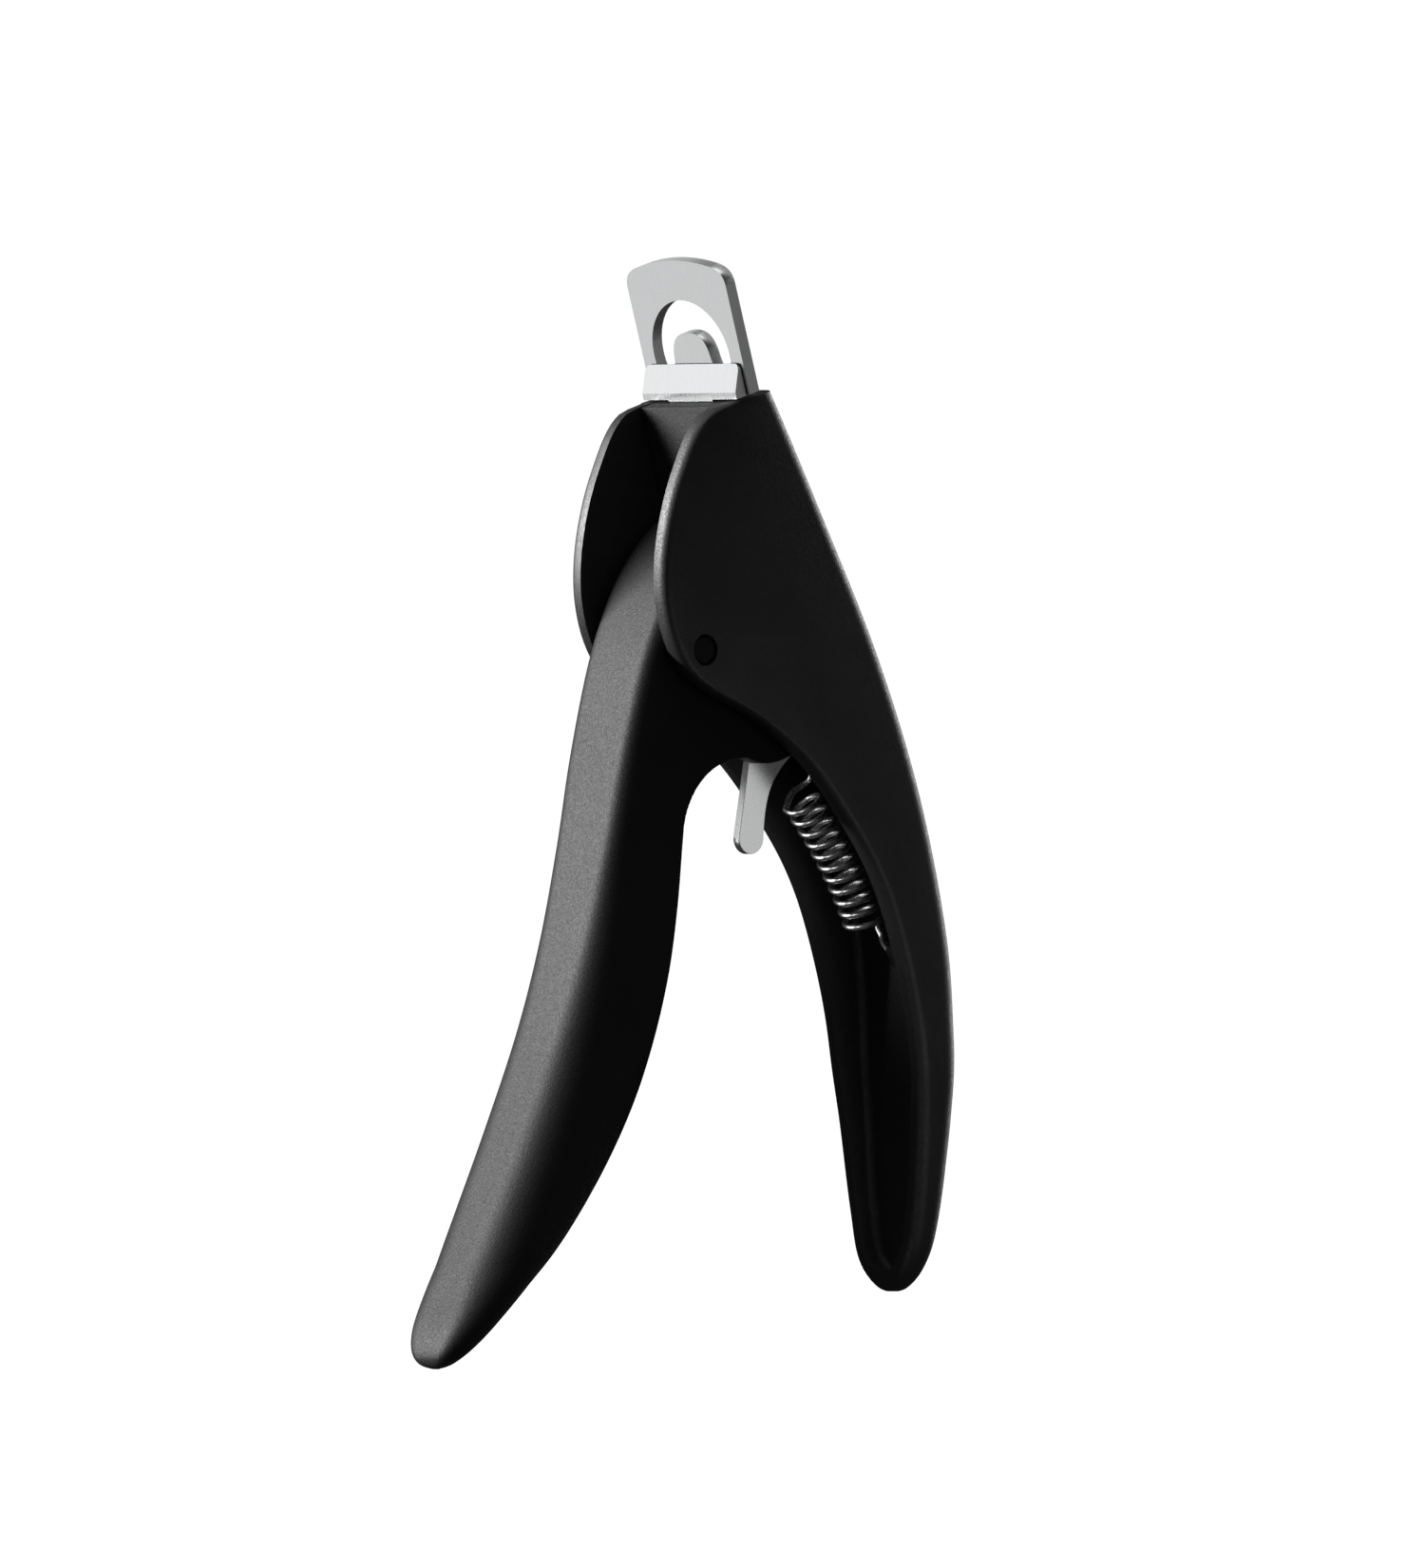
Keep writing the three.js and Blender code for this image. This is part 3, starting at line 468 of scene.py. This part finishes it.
def lever_arm():
    """The arm that runs into the head, with the nose that the spring and the latch hang on."""
    outline = [
        (0, 12), (8.4, 11.4),
        *bezier((9.8, 8.2), (10.6, 5.5), (13, 4.5)),
        *bezier((21.6, 3.6), (23.9, 3.2), (24.1, 0.5)),
        *arc(*SPRING_PIN, SPRING_PIN_BOSS, 0, -90, 10),
        *bezier((17.6, -13.9), (14, -15.7), (10.4, -14.2)),
        *bezier((10.4, -14.2), (6.6, -14.2), (4.15, -15.7))[1:],
        *bezier((4.15, -15.7), (0.2, -18), (-1, -23.2))[1:],
        (-3, -22),
    ]
    return prism(outline, -LEVER_HALF, LEVER_HALF)


def fork_slot():
    """The gap between the fork's arms, rounded about the pivot so that the carrier clears it."""
    end = FORK_ROOT * math.cos(math.radians(LEVER_SWING))
    outline = [(30, 12), *arc(0, 0, FORK_ROOT, 33, -LEVER_SWING), (end, -22), (30, -22)]
    return prism(outline, -FORK_HALF, FORK_HALF)


def drive_slot():
    """The short slot in both arms that the drive pin slides in."""
    centre = HEAD_IN_BODY @ Vector((DRIVE_PIN.x, 0, DRIVE_PIN.y))
    reach, angle = math.hypot(centre.x, centre.z), math.atan2(centre.z, centre.x)
    outline = [*arc(0.25, 0, DRIVE_SLOT, -90, 90), *arc(-0.95, 0, DRIVE_SLOT, 90, 270)]
    place = Matrix.Rotation(-angle, 4, "Y") @ Matrix.Translation((reach, 0, 0))
    return prism(outline, -LEVER_HALF - 1, LEVER_HALF + 1, place)


def lever_mesh():
    lever = join(lever_stem(), lever_arm())
    cut(lever, fork_slot())
    moulded(lever, cell=0.28, rounds=7)
    cut(lever, drive_slot())
    cut(lever, rod(BUSH_BORE, -10, 10, 0, 0))
    cut(lever, rod(LATCH_BORE, -10, 10, *LATCH_PIN))
    cut(lever, rod(SPRING_BORE, 0, 10, *SPRING_PIN))
    return lever


# ---------- spring ----------


def spring_line():
    """The middle of the wire, from the top eye down the coil to the lower loop."""
    eye = [
        (SPRING_PIN.x + EYE_RADIUS * math.cos(a), 0.8, SPRING_PIN.y + EYE_RADIUS * math.sin(a))
        for a in np.radians(np.arange(250, -1, -12.5))
    ]
    neck = [
        (26, 0.8, -13.6), (27.9, 1.4, -15.1), (28.7, 2.2, -16.8), (27.9, 3, -17.8), (26.4, 3.3, -18.8),
    ]
    heel = [(39.2, 0.6, -35.8), (39.4, 0.9, -36.6)]
    across = Vector((0, 1, 0))
    steps = round(24 * SPRING_TURNS)
    coil = []
    for i in range(steps + 1):
        angle = math.radians(SPRING_FIRST_ANGLE + 360 * SPRING_TURNS * i / steps)
        before, after = SPRING_TOP.lerp(SPRING_BEND, i / steps), SPRING_BEND.lerp(SPRING_BOTTOM, i / steps)
        to_spine = (after - before).cross(across).normalized()
        middle = before.lerp(after, i / steps)
        coil.append(middle + SPRING_COIL * (math.cos(angle) * to_spine + math.sin(angle) * across))
    hook = []
    for a in np.radians(np.arange(60, 321, 13)):
        reach = -HOOK_RADIUS * math.cos(a) * HOOK_DOWN
        side = HOOK_CENTRE.y + HOOK_RADIUS * math.sin(a)
        hook.append((HOOK_CENTRE.x + reach.x, side, HOOK_CENTRE.z + reach.y))
    return [tuple(p) for p in [*eye, *neck, *coil, *heel, *hook]]


def tube(line, radius, sides):
    """A round wire along the line, with domed ends."""
    line = np.array(line, float)
    ahead = np.gradient(line, axis=0)
    ahead /= np.linalg.norm(ahead, axis=1)[:, None]
    side = np.cross(ahead[0], (0, 0, 1))
    rings = []
    for point, forward in zip(line, ahead):
        side = side - forward * (side @ forward)
        side /= np.linalg.norm(side)
        other = np.cross(forward, side)
        rings.append([
            point + radius * (math.cos(a) * side + math.sin(a) * other)
            for a in np.linspace(0, 2 * math.pi, sides, endpoint=False)
        ])
    for end, inwards in ((0, -1), (-1, 1)):
        centre, forward = line[end], ahead[end] * inwards
        domes = []
        for a in np.radians((30, 60, 80)):
            out = forward * radius * math.sin(a)
            domes.append([centre + (p - centre) * math.cos(a) + out for p in rings[end]])
        rings = rings + domes if end else domes[::-1] + rings
    return loft(rings)


def spring_mesh():
    return tube(catmull_rom(spring_line(), 3), SPRING_WIRE, 12)


# ---------- pieces that keep the CAD model's shape ----------

FLAT_WITHIN = 0.6  # degrees between two facets that count as one face


def refined(node, bevel, edge_angle):
    """A copy of a CAD node with whole faces instead of facets and its edges broken by bevel millimetres."""
    source = frame["nodes"][node]
    obj = bpy.data.objects.new(node + "_fine", source.data.copy())
    bpy.context.scene.collection.objects.link(obj)
    obj.data.materials.clear()
    shape = bmesh.new()
    shape.from_mesh(obj.data)
    bmesh.ops.remove_doubles(shape, verts=shape.verts, dist=1e-6)
    bmesh.ops.dissolve_limit(
        shape, angle_limit=math.radians(FLAT_WITHIN), verts=shape.verts, edges=shape.edges, delimit=set()
    )
    shape.to_mesh(obj.data)
    shape.free()
    broken_edges(obj, bevel * MM, edge_angle, 2)
    smooth(obj, edge_angle)
    flat = obj.modifiers.new("flat faces", "WEIGHTED_NORMAL")
    flat.keep_sharp = True
    return settle(obj)


# ---------- materials ----------

NOISE_RANGE = (0.3, 0.7)  # where most of a noise's values lie


class Nodes:
    """A material's node tree, with short ways to add what the materials here share."""

    def __init__(self, name):
        self.material = bpy.data.materials.new(name)
        self.material.use_nodes = True
        self.tree = self.material.node_tree
        self.shader = self.tree.nodes["Principled BSDF"]

    def add(self, kind, **values):
        node = self.tree.nodes.new(kind)
        for key, value in values.items():
            setattr(node, key, value)
        return node

    def link(self, source, target):
        self.tree.links.new(source, target)

    def place(self, scale=(1, 1, 1), turn=0.0):
        """Coordinates on the piece, turned about Y and then stretched."""
        coordinates = self.add("ShaderNodeTexCoord").outputs["Object"]
        turned = self.add("ShaderNodeVectorRotate", rotation_type="Y_AXIS")
        turned.inputs["Angle"].default_value = turn
        self.link(coordinates, turned.inputs["Vector"])
        mapping = self.add("ShaderNodeMapping")
        mapping.inputs["Scale"].default_value = scale
        self.link(turned.outputs[0], mapping.inputs["Vector"])
        return mapping.outputs[0]

    def noise(self, size, detail=2.0, roughness=0.5, scale=(1, 1, 1), turn=0.0):
        """Noise whose lumps are about size millimetres across."""
        node = self.add("ShaderNodeTexNoise")
        node.inputs["Scale"].default_value = 1 / (size * MM)
        node.inputs["Detail"].default_value = detail
        node.inputs["Roughness"].default_value = roughness
        self.link(self.place(scale, turn), node.inputs["Vector"])
        return node.outputs["Fac"]

    def spread(self, value, low, high):
        """Noise spread from low to high."""
        node = self.add("ShaderNodeMapRange")
        node.inputs["From Min"].default_value, node.inputs["From Max"].default_value = NOISE_RANGE
        node.inputs["To Min"].default_value, node.inputs["To Max"].default_value = low, high
        self.link(value, node.inputs["Value"])
        return node.outputs[0]

    def colours(self, value, low, high):
        """Noise spread from one colour to another."""
        node = self.add("ShaderNodeValToRGB")
        ramp = node.color_ramp.elements
        ramp[0].position, ramp[1].position = NOISE_RANGE
        ramp[0].color, ramp[1].color = (*low, 1), (*high, 1)
        self.link(value, node.inputs["Fac"])
        return node.outputs["Color"]

    def bumps(self, *layers):
        """Bump layers, each a height with its depth in millimetres."""
        normal = None
        for height, depth in layers:
            node = self.add("ShaderNodeBump")
            node.inputs["Distance"].default_value = depth * MM
            self.link(height, node.inputs["Height"])
            if normal is not None:
                self.link(normal, node.inputs["Normal"])
            normal = node.outputs["Normal"]
        self.link(normal, self.shader.inputs["Normal"])


def plastic(name):
    """Black glass-filled nylon with a fine spark-eroded grain."""
    n = Nodes(name)
    grain = n.noise(0.34, 3, 0.75)
    shades = n.colours(n.noise(9, 3), (0.008, 0.008, 0.0081), (0.014, 0.014, 0.0142))
    n.link(shades, n.shader.inputs["Base Color"])
    n.link(n.spread(grain, 0.42, 0.66), n.shader.inputs["Roughness"])
    n.bumps((grain, 0.05), (n.noise(1.4, 2), 0.004))
    return n.material


def steel(name, turn=head_turn, stretch=(1, 1, 0.04), low=(0.55, 0.555, 0.56), high=(0.62, 0.625, 0.63),
          rough=(0.24, 0.36), depth=0.004, line=0.12, metallic=1.0):
    """Ground steel with fine lines along one direction."""
    n = Nodes(name)
    lines = n.noise(line, 2, 0.6, stretch, -turn)
    n.shader.inputs["Metallic"].default_value = metallic
    n.link(n.colours(lines, low, high), n.shader.inputs["Base Color"])
    n.link(n.spread(lines, *rough), n.shader.inputs["Roughness"])
    n.bumps((lines, depth))
    return n.material


# ---------- assembly of pieces ----------

black_body = plastic("body_plastic")
black_lever = plastic("lever_plastic")
black_cover = plastic("cover_plastic")
plate_steel = steel("plate_steel", stretch=(0.04, 1, 0.04), depth=0.002)
blade_steel = steel("blade_steel", stretch=(0.02, 1, 0.02), low=(0.5, 0.505, 0.51), line=0.3)
latch_steel = steel("latch_steel", turn=0, stretch=(1, 1, 1), depth=0.001)
spring_steel = steel("spring_steel", 0, (1, 1, 1), (0.6, 0.6, 0.6), (0.68, 0.68, 0.68), (0.24, 0.3), 0.0003)
turned_steel = steel("turned_steel", 0, (1, 0.05, 1), rough=(0.2, 0.32))
black_steel = steel(
    "black_steel", 0, (1, 1, 1), (0.01, 0.01, 0.011), (0.016, 0.016, 0.017), (0.42, 0.52), 0.003,
    metallic=0.0,
)
bronze = steel("bronze", 0, (1, 0.05, 1), (0.42, 0.25, 0.1), (0.5, 0.31, 0.14), (0.3, 0.4), 0.003)


def finish_piece(obj, material, body, slot, *nodes):
    obj.data.materials.clear()
    obj.data.materials.append(material)
    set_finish(obj, slot)
    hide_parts(*nodes)
    if body is not None:
        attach(obj, body)
    return obj


def body_of(node):
    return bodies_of(frame["nodes"][node])[0]


body = body_mesh()
body.name = "body_moulding"
body.data.transform(BODY_FRAME)
smooth(body, 50)
finish_piece(body, black_body, "body", "black_plastic", "body_shell")

lever = lever_mesh()
lever.name = "lever_moulding"
lever.data.transform(BODY_FRAME)
smooth(lever, 50)
finish_piece(lever, black_lever, "lever", "black_plastic", "lever_handle")

spring = spring_mesh()
spring.name = "spring_wire"
spring.data.transform(BODY_FRAME)
smooth(spring, 60)
finish_piece(spring, spring_steel, None, "spring_steel", "return_spring")
spring_foot = BODY_FRAME @ SPRING_BOTTOM
spring_head = BODY_FRAME @ Vector((SPRING_PIN.x, 0, SPRING_PIN.y))
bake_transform(spring, "body", "lever", start=spring_foot, end=spring_head)

for node, material, slot, bevel, edge_angle in (
    ("guide_cover", black_cover, "black_plastic", 0.3, 32),
    ("cover_screw_near", black_steel, "blackened_steel", 0.06, 32),
    ("cover_screw_far", black_steel, "blackened_steel", 0.06, 32),
    ("fixed_plate", plate_steel, "brushed_steel", 0.14, 32),
    ("plate_screw_lower", turned_steel, "turned_steel", 0.05, 32),
    ("plate_screw_upper", turned_steel, "turned_steel", 0.05, 32),
    ("moving_blade", blade_steel, "brushed_steel", 0.06, 20),
    ("blade_carrier", turned_steel, "turned_steel", 0.15, 32),
    ("blade_rivet_near", turned_steel, "turned_steel", 0.08, 32),
    ("blade_rivet_far", turned_steel, "turned_steel", 0.08, 32),
    ("drive_pin", turned_steel, "turned_steel", 0.05, 32),
    ("pivot_barrel", black_steel, "blackened_steel", 0.08, 32),
    ("pivot_screw", black_steel, "blackened_steel", 0.08, 32),
    ("pivot_bush", bronze, "bronze", 0.08, 32),
    ("spring_pin", turned_steel, "turned_steel", 0.08, 32),
    ("latch_pin", turned_steel, "turned_steel", 0.1, 32),
    ("latch_spacer", black_cover, "black_plastic", 0.08, 32),
    ("lock_latch", latch_steel, "brushed_steel", 0.15, 32),
):
    finish_piece(refined(node, bevel, edge_angle), material, body_of(node), slot, node)

# ---------- camera ----------

CAMERA_TURN = math.radians(41.2)  # round from the near cheek towards the lever, in the body's frame
CAMERA_REACH = 5.0
SENSOR = 36
FIELD = 0.20625  # what the picture's height spans at look_at's distance
look_at = BODY_FRAME @ Vector((9.57, 0, -17.58))

back = BODY_FRAME.to_3x3().normalized() @ Vector((-math.sin(CAMERA_TURN), -math.cos(CAMERA_TURN), 0))
up = BODY_FRAME.to_3x3().normalized() @ Vector((0, 0, 1))
right = up.cross(back)
camera = bpy.data.objects.new("camera", bpy.data.cameras.new("camera"))
bpy.context.scene.collection.objects.link(camera)
camera.data.sensor_width = SENSOR
camera.data.lens = SENSOR * CAMERA_REACH / FIELD
camera.matrix_world = Matrix.LocRotScale(
    look_at + back * CAMERA_REACH, Matrix((right, up, back)).transposed().to_quaternion(), None
)
bpy.context.scene.camera = camera

# ---------- floor and light ----------

steel_slots = ("brushed_steel", "spring_steel", "turned_steel")
named = {piece.name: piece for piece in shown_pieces()}
steel_pieces = [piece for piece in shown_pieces() if piece.get("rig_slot") in steel_slots]
lever_side = [named["lever_moulding"], named["latch_spacer_fine"]]
body_side = [named["body_moulding"], named["guide_cover_fine"]]
inner_steel = [named["lock_latch_fine"], named["latch_pin_fine"], named["spring_wire"]]
outer_steel = [piece for piece in steel_pieces if piece not in inner_steel]


def floor_material():
    """A pale matt sheet lit from below, as on a light table."""
    n = Nodes("floor_white")
    n.link(n.colours(n.noise(400, 2), (0.38, 0.38, 0.38), (0.4, 0.4, 0.4)), n.shader.inputs["Base Color"])
    n.shader.inputs["Roughness"].default_value = 0.9
    n.shader.inputs["Specular IOR Level"].default_value = 0.0
    n.shader.inputs["Emission Color"].default_value = (1, 1, 1, 1)
    n.shader.inputs["Emission Strength"].default_value = 1.0
    return n.material


def hang(data, towards, reach, target):
    """Puts a light out in a direction from the target, facing it and out of the camera's sight."""
    light = bpy.data.objects.new(data.name, data)
    bpy.context.scene.collection.objects.link(light)
    direction = Vector(towards).normalized()
    light.location = target + direction * reach
    light.rotation_euler = direction.to_track_quat("Z", "Y").to_euler()
    light.visible_camera = False
    return light


def shine_only_on(light, pieces, through=False):
    """Keeps a light off everything else, and lets it through everything else if wanted."""
    group = bpy.data.collections.new(light.name + "_lit")
    for piece in pieces:
        group.objects.link(piece)
    light.light_linking.receiver_collection = group
    if through:
        light.light_linking.blocker_collection = group


def panel(name, towards, width, height, radiance, lit=(), reach=1.1, target=look_at, through=False):
    """A soft panel in a direction from the target, facing it, that lights only the given pieces."""
    data = bpy.data.lights.new(name, "AREA")
    data.shape = "RECTANGLE"
    data.size, data.size_y = width, height
    data.energy = radiance * width * height * math.pi
    light = hang(data, towards, reach, target)
    if lit:
        shine_only_on(light, lit, through)


FLOOR_HEIGHT = -0.014  # leaves room for the lever's tip, which swings lower as the tool closes
FLOOR_REACH = 9
floor_corners = [
    (x * FLOOR_REACH, y * FLOOR_REACH, FLOOR_HEIGHT) for x, y in ((-1, -1), (1, -1), (1, 1), (-1, 1))
]
floor = new_object("floor", floor_corners, [(0, 1, 2, 3)])
floor.data.materials.append(floor_material())
floor.visible_diffuse = False  # the floor's glow doesn't fill the black sides
floor.visible_glossy = False

left_side = -right
upwards = Vector((0, 0, 1))
handle_end = BODY_FRAME @ Vector((42, -9.6, -58))
blade = [named["moving_blade_fine"]]
latch = [named["lock_latch_fine"], named["latch_pin_fine"]]
wire = [named["spring_wire"]]
cover = [named["guide_cover_fine"]]

# on the lever, then low on the handle, then on the near cheek
panel("key_panel", left_side + 0.33 * upwards, 0.9, 0.9, 9.5, lever_side)
panel("low_card", back * 0.84 + right * 0.5, 0.07, 0.09, 1.1, body_side, reach=0.1, target=handle_end)
panel("front_card", back * 0.8 + left_side * 0.5 - 0.5 * upwards, 0.6, 0.8, 0.9, body_side)

# on the steel, which has to reflect something from every side, and on the cover in front of it
panel("steel_card", left_side - 0.1 * upwards, 1.6, 1.4, 1.0, outer_steel)
panel("bevel_card", left_side * 0.96 - back * 0.15 + 0.2 * upwards, 0.6, 0.5, 0.6, blade, reach=1.0)
panel("side_card", right + 0.1 * upwards, 1.0, 1.0, 0.85, latch, through=True)
panel("cover_card", left_side + 0.2 * upwards, 0.6, 0.6, 20.0, cover, reach=1.0)
panel("corner_card", 0.5 * right - 0.44 * back + 0.75 * upwards, 1.4, 1.2, 0.4, outer_steel)
panel("far_card", back + 0.2 * upwards, 1.0, 1.0, 0.5, outer_steel)
panel("rear_card", right - 0.9 * back + 0.1 * upwards, 1.0, 1.0, 0.5, outer_steel)
panel("edge_card", right + 0.1 * upwards, 1.0, 1.0, 0.16, outer_steel)
panel("backdrop_card", -back + 0.45 * upwards, 1.5, 0.6, 0.7, outer_steel, reach=1.2)
wire_side = back * 0.7 + 0.9 * left_side + 0.3 * upwards
panel("wire_card", wire_side, 0.9, 0.5, 4.0, wire, reach=1.0, through=True)
panel("inner_card", left_side + 0.3 * back, 1.0, 1.0, 2.0, inner_steel, reach=1.0, through=True)

# on everything, softly from above, and along the edges that face away from the camera
panel("top_panel", upwards, 1.6, 1.6, 1.5, reach=2.0)
spine_side = right * 0.85 - back * 0.95 + 0.3 * upwards
panel("rim_panel", spine_side, 0.4, 0.9, 10.5, lever_side + body_side, reach=1.2)


def head_spot(watts, cone, softness, reach):
    """A narrow soft beam from the left on the head only, which leaves the channel below it dark."""
    data = bpy.data.lights.new("head_spot", "SPOT")
    data.energy = watts
    data.spot_size = math.radians(cone)
    data.spot_blend = 1.0
    data.shadow_soft_size = softness
    head = BODY_FRAME @ Vector((4, 0, 18))
    spot = hang(data, left_side + 0.33 * upwards, reach, head)
    shine_only_on(spot, [named["body_moulding"]])


head_spot(watts=17, cone=15, softness=0.02, reach=0.35)


def white_world(fill):
    """A white surround that lights the object only a little."""
    world = bpy.data.worlds.new("white_surround")
    bpy.context.scene.world = world
    world.use_nodes = True
    tree = world.node_tree
    seen = tree.nodes["Background"]
    seen.inputs["Color"].default_value = (1, 1, 1, 1)
    seen.inputs["Strength"].default_value = 1.0
    dim = tree.nodes.new("ShaderNodeBackground")
    dim.inputs["Strength"].default_value = fill
    path = tree.nodes.new("ShaderNodeLightPath")
    mix = tree.nodes.new("ShaderNodeMixShader")
    tree.links.new(path.outputs["Is Camera Ray"], mix.inputs["Fac"])
    tree.links.new(dim.outputs[0], mix.inputs[1])
    tree.links.new(seen.outputs[0], mix.inputs[2])
    tree.links.new(mix.outputs[0], tree.nodes["World Output"].inputs["Surface"])


white_world(fill=0.055)
bpy.context.scene.view_settings.view_transform = "Standard"
